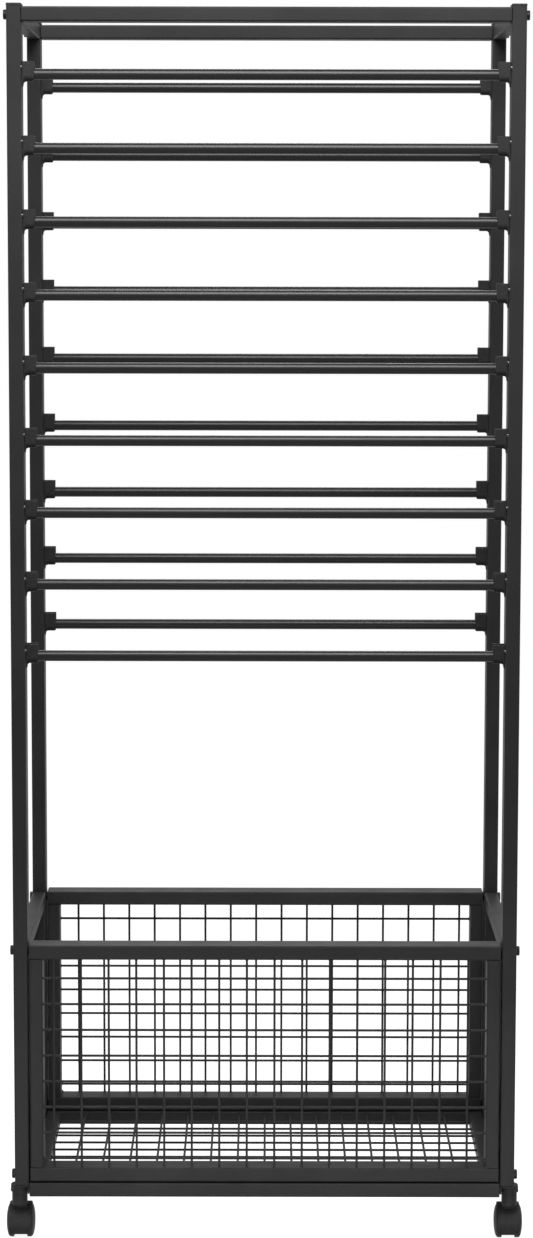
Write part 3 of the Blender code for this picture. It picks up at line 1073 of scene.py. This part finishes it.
# Steps from a wheel's tread to its middle, in millimetres inwards and outwards: dome, groove and hub
WHEEL_STEPS = ((0.8, 1.4), (1.4, 0.9), (2.3, 0.8), (3.5, 0.7), (0.5, -0.5), (0.5, 0), (0.4, 0.7), (4, 0.3))


def shape_collar(axis, foot, sizes):
    """The socket's collar, wider at its foot, with the bore for the stem."""
    middle = Vector((axis.x, axis.y, foot + sizes.collar_height / 2))
    collar = add_drum("stem_collar", middle, sizes.collar_foot_radius, sizes.collar_height, Z, COLLAR_SIDES)
    pick_faces(collar, lambda face: faces(face, Z, 1))
    ratio = sizes.collar_radius / sizes.collar_foot_radius
    resize((ratio, ratio, 1), (axis.x, axis.y, foot + sizes.collar_height))
    wall = sizes.collar_foot_radius - sizes.stem_radius - RUNNING_GAP
    draw_face(collar, Z, -1, wall, BORE_DEPTH)
    return collar


def shape_foot_plug(low, high, plug_top, sizes):
    """The plate that closes a post's foot, with the plug that goes up into the tube."""
    plate = add_block("foot_plate", low, high)
    round_along(plate, Z, sizes.corner)
    draw_face(plate, Z, 1, sizes.wall + CAP_LIP, plug_top - high.z)
    return plate


class RACK_OT_caster_sockets(bpy.types.Operator):
    """Plugs that close the posts' feet, each with the flared collar that takes a caster's stem"""

    bl_idname = "rack.caster_sockets"
    bl_label = "Caster sockets"

    def execute(self, context):
        sizes = context.scene.rack_caster
        node_low, node_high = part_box("caster_socket_front_left")
        low, high = post_box("front", "left")
        axis = stem_place("front", "left")
        foot = node_low.z
        collar = shape_collar(axis, foot, sizes)
        finish_shape(collar, "grained_plastic", softened=COLLAR_EDGE)
        plate_low = Vector((low.x, low.y, foot + sizes.collar_height - TOUCH))
        plate_high = Vector((high.x, high.y, low.z - RUNNING_GAP))
        plate = shape_foot_plug(plate_low, plate_high, node_high.z, context.scene.rack_tube)
        finish_shape(plate, "grained_plastic", softened=PLATE_EDGE)
        rib_low = Vector((high.x - RIB_THICKNESS, low.y + RIB_STEP, foot))
        rib_high = Vector((high.x, high.y - RIB_STEP, plate_low.z + TOUCH))
        rib = add_block("socket_rib", rib_low, rib_high)
        finish_shape(rib, "grained_plastic", softened=PLATE_EDGE)
        socket = join("stem_socket", [collar, plate, rib])
        node = "caster_socket_{}"
        copy_to_corners(socket, "stem_socket", axis, axis, "frame", "black_plastic", node)
        discard(socket)
        return {"FINISHED"}


def round_axis(axis, radius, turn):
    """A point round the wheel axis, turned up from the front and over the top."""
    return axis + Vector((0, -radius * math.cos(turn), radius * math.sin(turn)))


def spin_section(name, axis, inner, outer, width, rounding, sizes):
    """A rounded cross-section between two radii, spun round the wheel axis over the hood's whole arc."""
    deselect_all()
    place = round_axis(axis, (inner + outer) / 2, sizes.hood_start)
    bpy.ops.mesh.primitive_plane_add(size=1, location=place, rotation=(-sizes.hood_start, 0, 0))
    bpy.context.object.scale = (width, outer - inner, 1)
    section = open_new(name)
    bpy.ops.mesh.select_all(action="SELECT")
    bpy.ops.mesh.bevel(offset=rounding, segments=3, affect="VERTICES")
    bpy.ops.mesh.select_all(action="SELECT")
    sweep = sizes.hood_end - sizes.hood_start
    bpy.ops.mesh.spin(steps=40, angle=sweep, center=axis, axis=(1, 0, 0))
    bpy.ops.mesh.select_all(action="SELECT")
    bpy.ops.mesh.remove_doubles(threshold=TOUCH)
    bpy.ops.mesh.normals_make_consistent(inside=False)
    close_piece()
    return section


def shape_hub(axis, sizes):
    """The ring in the web that carries the axle."""
    hub = add_drum("hood_hub", axis, 2 * sizes.axle_radius, 2 * sizes.web_half, X, HUB_SIDES)
    bore(hub, X, sizes.axle_radius - RUNNING_GAP)
    return hub


def shape_boss(stem, top, sizes):
    """The upright boss round the stem, and the chin that slopes back from its lower rim into the hood."""
    foot = sizes.boss_foot
    middle = Vector((stem.x, stem.y, (foot + top) / 2))
    boss = add_drum("hood_boss", middle, sizes.boss_radius, top - foot, Z, COLLAR_SIDES)
    draw_face(boss, Z, -1, CHIN_RIM * sizes.boss_radius, -CHIN_DEPTH * sizes.boss_radius)
    resize(CHIN_TAPER, (stem.x, stem.y + sizes.boss_radius, foot))
    return boss


def shape_pin(name, middle, radius, span, axis, signs):
    """A steel pin, rounded at the ends that the signs name along its axis."""
    pin = add_drum(name, middle, radius, span, axis, PIN_SIDES)
    ends = [middle[axis] + sign * span / 2 for sign in signs]
    pick_edges(pin, lambda edge: any(lies_on(edge, axis, end) for end in ends))
    bevel(PIN_EDGE, steps=2)
    return finish_shape(pin, "turned_steel")


class RACK_OT_caster_hoods(bpy.types.Operator):
    """Swivelling hoods: a cover over both wheels, the web between them, the boss and the stem"""

    bl_idname = "rack.caster_hoods"
    bl_label = "Caster hoods"

    def execute(self, context):
        sizes = context.scene.rack_caster
        axis = box_centre("axle_front_left")
        stem = stem_place("front", "left")
        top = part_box("caster_socket_front_left")[0].z - RUNNING_GAP
        outer = sizes.hood_radius
        inner = outer - sizes.hood_wall
        cover = spin_section("hood_cover", axis, inner, outer, sizes.hood_width, HOOD_EDGE, sizes)
        web_outer = outer - sizes.hood_wall / 2
        web_inner = sizes.axle_radius + RUNNING_GAP
        web = spin_section("hood_web", axis, web_inner, web_outer, 2 * sizes.web_half, WEB_EDGE, sizes)
        hub = shape_hub(axis, sizes)
        boss = shape_boss(stem, top, sizes)
        finish_shape(boss, "grained_plastic", softened=BOSS_EDGE)
        for piece in (cover, web, hub):
            finish_shape(piece, "grained_plastic")
        hood = join("hood", [cover, web, hub, boss])
        node = "caster_hood_{}"
        copy_to_corners(hood, "twin_hood", stem, stem, "caster_{}", "black_plastic", node, turn_rows=True)
        discard(hood)
        stem_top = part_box("caster_hood_front_left")[1].z
        middle = Vector((stem.x, stem.y, (top + stem_top) / 2))
        pin = shape_pin("stem_pin", middle, sizes.stem_radius, stem_top - top, Z, (1,))
        copy_to_corners(pin, "stem_pin", stem, stem, "caster_{}", "axle_steel", turn_rows=True)
        discard(pin)
        return {"FINISHED"}


def shape_wheel(centre, outward, sizes):
    """A wheel whose outer face is drawn in to a shallow dome with a ring and a hub."""
    middle = centre + along(X, outward * sizes.tread / 2)
    wheel = add_drum("wheel", middle, sizes.wheel_radius, sizes.tread, X, WHEEL_SIDES)
    pick_faces(wheel, lambda face: faces(face, X, outward))
    step_face(WHEEL_STEPS, MM, MM)
    rim = sizes.wheel_radius - sizes.axle_radius - RUNNING_GAP
    draw_face(wheel, X, -outward, rim, outward * HUB_RECESS)
    return wheel


class RACK_OT_wheels(bpy.types.Operator):
    """Eight domed wheels, two on each axle"""

    bl_idname = "rack.wheels"
    bl_label = "Wheels"

    def execute(self, context):
        sizes = context.scene.rack_caster
        low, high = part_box("wheel_front_left_outer")
        first = Vector((high.x, (low.y + high.y) / 2, (low.z + high.z) / 2))
        wheel = shape_wheel(first, -1, sizes)
        finish_shape(wheel, "wheel_nylon_moulding", softened=WHEEL_EDGE)
        for row, side in CORNERS:
            for place in ("outer", "inner"):
                node = f"wheel_{row}_{side}_{place}"
                low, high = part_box(node)
                turned = (side == "left") != (place == "outer")
                hub = Vector((low.x if turned else high.x, (low.y + high.y) / 2, first.z))
                twin = copy_piece(wheel, f"twin_{node}", first, hub, turned)
                hand_over(twin, f"wheels_{row}_{side}", "wheel_nylon", node)
        discard(wheel)
        return {"FINISHED"}


class RACK_OT_axles(bpy.types.Operator):
    """Steel axle pins with rounded ends"""

    bl_idname = "rack.axles"
    bl_label = "Axles"

    def execute(self, context):
        radius = context.scene.rack_caster.axle_radius
        for row, side in CORNERS:
            node = f"axle_{row}_{side}"
            low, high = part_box(node)
            pin = shape_pin(f"pin_{node}", (low + high) / 2, radius, high.x - low.x, X, (-1, 1))
            hand_over(pin, f"wheels_{row}_{side}", "axle_steel", node)
        return {"FINISHED"}


# Stage

# The camera that a fit to the photograph gives, with angles in degrees
CAMERA_PLACE = (0.0011, -3.6239, 1.117)
CAMERA_DIP = 6.739
CAMERA_ROLL = 0.102
CAMERA_LENS = 92.31
CAMERA_REACH = 200
FLOOR_RADIUS = 60
# The middle of the rack, which the side and rear softboxes face
RACK_MIDDLE = (0, 0, 0.7)


def seen_share(tree):
    """One where the camera, a gloss or clear plastic looks, and nothing where light is gathered."""
    path = tree.nodes.new("ShaderNodeLightPath")
    total = path.outputs["Is Camera Ray"]
    for name in ("Is Glossy Ray", "Is Transmission Ray"):
        add = tree.nodes.new("ShaderNodeMath")
        add.operation = "ADD"
        add.use_clamp = True
        tree.links.new(total, add.inputs[0])
        tree.links.new(path.outputs[name], add.inputs[1])
        total = add.outputs["Value"]
    return total


def make_world(light):
    """Even soft light, with a white background where it is looked at."""
    world = bpy.data.worlds.new("soft_studio")
    world.use_nodes = True
    tree = world.node_tree
    dim = tree.nodes["Background"]
    white = tree.nodes.new("ShaderNodeBackground")
    for background, strength in ((dim, light.world_level), (white, 1)):
        background.inputs["Color"].default_value = (1, 1, 1, 1)
        background.inputs["Strength"].default_value = strength
    mix = tree.nodes.new("ShaderNodeMixShader")
    tree.links.new(seen_share(tree), mix.inputs["Fac"])
    tree.links.new(dim.outputs["Background"], mix.inputs[1])
    tree.links.new(white.outputs["Background"], mix.inputs[2])
    tree.links.new(mix.outputs["Shader"], tree.nodes["World Output"].inputs["Surface"])
    bpy.context.scene.world = world


def make_floor(light, shade):
    """A wide pale floor that shows near white and keeps a soft shadow under the casters."""
    deselect_all()
    bpy.ops.mesh.primitive_circle_add(vertices=FLOOR_SIDES, radius=FLOOR_RADIUS, fill_type="NGON")
    floor = bpy.context.object
    floor.name = "studio_floor"
    material = new_finish("pale_floor", shade, gloss=0, roughness=0.9)
    vary_colour(material, darker=0.99, lighter=1.01, scale=2.5, detail=3)
    glow = add_node(material, "ShaderNodeMath")
    glow.operation = "MULTIPLY"
    glow.inputs[1].default_value = light.floor_glow
    link = material.node_tree.links.new
    link(seen_share(material.node_tree), glow.inputs[0])
    inputs = shader_inputs(material)
    inputs["Emission Color"].default_value = (1, 1, 1, 1)
    link(glow.outputs["Value"], inputs["Emission Strength"])
    floor.data.materials.append(material)


def add_softbox(name, power, place, target, size, spread_angle):
    light = bpy.data.lights.new(name, "AREA")
    light.shape = "RECTANGLE"
    light.size, light.size_y = size
    light.energy = power
    light.spread = math.radians(spread_angle)
    lamp = bpy.data.objects.new(name, light)
    lamp.location = place
    lamp.rotation_euler = (Vector(target) - Vector(place)).to_track_quat("-Z", "Y").to_euler()
    bpy.context.scene.collection.objects.link(lamp)


def add_softboxes(light):
    """A key above the front, one over the camera, one at each side, a low one and one behind."""
    # Each with its name, power, place, target, size and spread in degrees
    softboxes = (
        ("key_softbox", light.key_power, (0, -1.05, 2.15), (0, -0.15, 1.2), (0.9, 0.8), 180),
        ("front_softbox", light.front_power, (0, -3.5, 2.35), (0, 0, 1.3), (2.4, 0.9), 180),
        ("left_softbox", light.fill_power, (-2.6, 0, 1.9), RACK_MIDDLE, (1.2, 1.6), 60),
        ("right_softbox", light.fill_power, (2.6, 0, 1.9), RACK_MIDDLE, (1.2, 1.6), 60),
        ("low_softbox", light.low_power, (0, -0.8, 0.06), (0, 0, 0.12), (0.9, 0.1), 70),
        ("rear_softbox", light.rear_power, (0, 2.6, 2.6), RACK_MIDDLE, (1.8, 1.2), 45),
    )
    for softbox in softboxes:
        add_softbox(*softbox)


def make_camera():
    camera = bpy.data.cameras.new("front_view")
    camera.sensor_fit = "AUTO"
    camera.sensor_width = 36
    camera.lens = CAMERA_LENS
    camera.clip_end = CAMERA_REACH
    viewer = bpy.data.objects.new("front_view", camera)
    tilt = Matrix.Rotation(math.radians(90 - CAMERA_DIP), 4, "X")
    roll = Matrix.Rotation(math.radians(CAMERA_ROLL), 4, "Z")
    viewer.matrix_world = Matrix.Translation(CAMERA_PLACE) @ tilt @ roll
    bpy.context.scene.collection.objects.link(viewer)
    bpy.context.scene.camera = viewer


class RACK_OT_stage(bpy.types.Operator):
    """Pale floor, even white surroundings, soft studio light and the front camera"""

    bl_idname = "rack.stage"
    bl_label = "Stage"

    def execute(self, context):
        light = context.scene.rack_light
        make_world(light)
        make_floor(light, context.scene.rack_colours.floor)
        add_softboxes(light)
        make_camera()
        context.scene.view_settings.view_transform = "Standard"
        return {"FINISHED"}


# Add-on


class RACK_PT_builder(bpy.types.Panel):
    """The pieces of the organizer, in the order in which they are made"""

    bl_label = "Gift Wrap Organizer"
    bl_idname = "RACK_PT_builder"
    bl_space_type = "VIEW_3D"
    bl_region_type = "UI"
    bl_category = "Organizer"

    def draw(self, context):
        for group in PROPERTY_GROUPS:
            box = self.layout.box()
            values = getattr(context.scene, group)
            for name in values.bl_rna.properties.keys():
                if name not in ("rna_type", "name"):
                    box.prop(values, name)
        for step in STEPS:
            self.layout.operator(step.bl_idname)


PROPERTY_GROUPS = {
    "rack_tube": TubeSizes,
    "rack_rod": RodSizes,
    "rack_cradle": CradleSizes,
    "rack_basket": BasketSizes,
    "rack_fastener": FastenerSizes,
    "rack_caster": CasterSizes,
    "rack_colours": FinishColours,
    "rack_light": StageLight,
}
STEPS = (
    RACK_OT_finishes,
    RACK_OT_posts,
    RACK_OT_top_beams,
    RACK_OT_post_caps,
    RACK_OT_rods,
    RACK_OT_cradles,
    RACK_OT_cradle_screws,
    RACK_OT_basket_borders,
    RACK_OT_basket_wires,
    RACK_OT_bolts,
    RACK_OT_caster_sockets,
    RACK_OT_caster_hoods,
    RACK_OT_wheels,
    RACK_OT_axles,
    RACK_OT_stage,
)


def register():
    for group, kind in PROPERTY_GROUPS.items():
        bpy.utils.register_class(kind)
        setattr(bpy.types.Scene, group, bpy.props.PointerProperty(type=kind))
    for step in STEPS:
        bpy.utils.register_class(step)
    bpy.utils.register_class(RACK_PT_builder)


def unregister():
    bpy.utils.unregister_class(RACK_PT_builder)
    for step in reversed(STEPS):
        bpy.utils.unregister_class(step)
    for group, kind in PROPERTY_GROUPS.items():
        delattr(bpy.types.Scene, group)
        bpy.utils.unregister_class(kind)


def main():
    register()
    bpy.ops.rack.finishes()
    bpy.ops.rack.posts()
    bpy.ops.rack.top_beams()
    bpy.ops.rack.post_caps()
    bpy.ops.rack.rods()
    bpy.ops.rack.cradles()
    bpy.ops.rack.cradle_screws()
    bpy.ops.rack.basket_borders()
    bpy.ops.rack.basket_wires()
    bpy.ops.rack.bolts()
    bpy.ops.rack.caster_sockets()
    bpy.ops.rack.caster_hoods()
    bpy.ops.rack.wheels()
    bpy.ops.rack.axles()
    bpy.ops.rack.stage()


if __name__ == "__main__":
    main()
